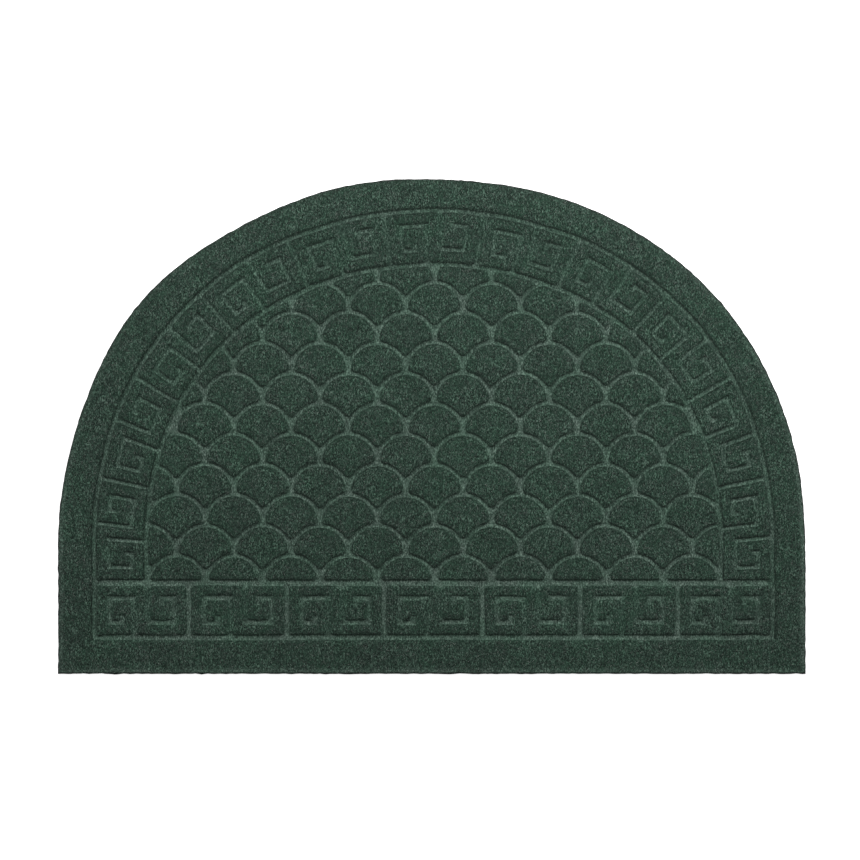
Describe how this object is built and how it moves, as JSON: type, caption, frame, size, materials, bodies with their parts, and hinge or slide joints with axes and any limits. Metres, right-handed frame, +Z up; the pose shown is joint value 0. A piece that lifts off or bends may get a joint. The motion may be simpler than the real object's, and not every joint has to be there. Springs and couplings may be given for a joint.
{
  "type": "half-round doormat",
  "caption": "Half-round doormat: an embossed green pile face bonded to a thin black rubber backing, for wiping shoes at a door.",
  "frame": {"origin": "on the underside, under the middle of the outline's box", "axes": "+X along the straight edge, to the right seen from above; +Y from the straight edge towards the arch; +Z up, out of the pile"},
  "size_m": [0.6, 0.397, 0.006],
  "materials": {
    "pile": "matt heathered dark green needle-punched polyester pile, flatter and a little lighter in the embossed lines",
    "backing": "matt black rubber sheet"
  },
  "bodies": {
    "root": {"pile_face": "pile", "backing": "backing"}
  },
  "joints": []
}
